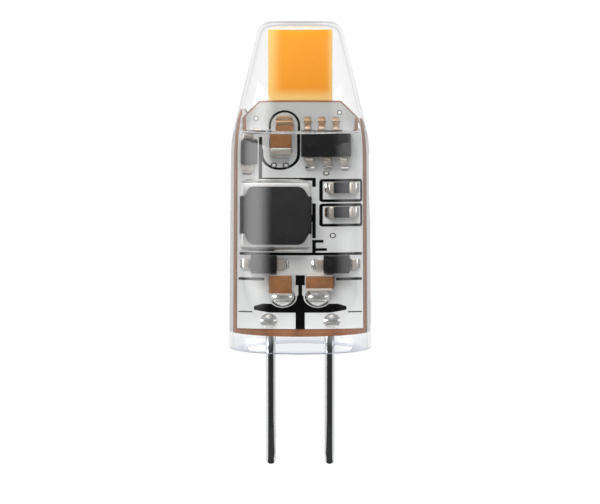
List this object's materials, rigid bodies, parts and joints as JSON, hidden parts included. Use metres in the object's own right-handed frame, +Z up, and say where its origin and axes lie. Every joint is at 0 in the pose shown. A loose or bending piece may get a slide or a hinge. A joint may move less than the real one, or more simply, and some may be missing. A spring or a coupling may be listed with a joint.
{
  "type": "led capsule bulb",
  "caption": "Clear capsule bulb on a push-in pin base, with a visible driver board in its clear filling and a flat yellow light plate in its hollow tapered crown.",
  "frame": {"origin": "centre of the pin pair on the plane of the hollow rim", "axes": "+Z up the capsule's axis to its crown, +X from the left pin to the right pin, component side facing -Y"},
  "size_m": [0.0098, 0.0097, 0.0302],
  "materials": {
    "clear_plastic": "clear and smooth, the cap and its filling alike",
    "board_fibre": "cut glass-fibre edge",
    "white_coat": "white solder mask, satin",
    "dark_gap": "matt black",
    "phosphor": "yellow-orange silicone, satin",
    "plate_ceramic": "white, matt",
    "pin_metal": "tinned wire, bright",
    "solder": "bright solder",
    "tinned_lead": "tinned copper",
    "black_epoxy": "moulded, satin",
    "ferrite": "dark grey, ground",
    "winding_copper": "enamelled copper",
    "brown_ceramic": "fired, satin",
    "resistor_glaze": "glazed black"
  },
  "bodies": {
    "root": {"clear_body": "clear_plastic", "clear_filling": "clear_plastic", "board_core": "board_fibre", "board_front_coat": "white_coat", "board_dark_lines": "dark_gap", "board_rear_coat": "white_coat", "via_rings": "tinned_lead", "via_plugs": "solder", "light_plate": "plate_ceramic", "phosphor_front": "phosphor", "phosphor_rear": "phosphor", "plate_joints": "solder", "pin_left": "pin_metal", "pin_right": "pin_metal", "pin_solder_left": "solder", "pin_solder_right": "solder", "driver_chip_body": "black_epoxy", "driver_chip_leads": "tinned_lead", "driver_chip_solder": "solder", "inductor_core": "ferrite", "inductor_winding": "winding_copper", "inductor_terminals": "tinned_lead", "inductor_solder": "solder", "input_capacitor_body": "brown_ceramic", "input_capacitor_ends": "tinned_lead", "input_capacitor_solder": "solder", "upper_resistor_body": "resistor_glaze", "upper_resistor_ends": "tinned_lead", "lower_resistor_body": "resistor_glaze", "lower_resistor_ends": "tinned_lead", "resistor_solder": "solder", "side_diode_body": "black_epoxy", "side_diode_leads": "tinned_lead", "side_diode_solder": "solder", "left_diode_body": "black_epoxy", "left_diode_leads": "tinned_lead", "right_diode_body": "black_epoxy", "right_diode_leads": "tinned_lead", "lower_diode_solder": "solder", "left_chip_body": "brown_ceramic", "left_chip_ends": "tinned_lead", "right_chip_body": "brown_ceramic", "right_chip_ends": "tinned_lead", "solder_ball_left": "solder", "solder_ball_right": "solder", "pad_dome_left": "solder", "pad_dome_right": "solder"}
  },
  "joints": []
}
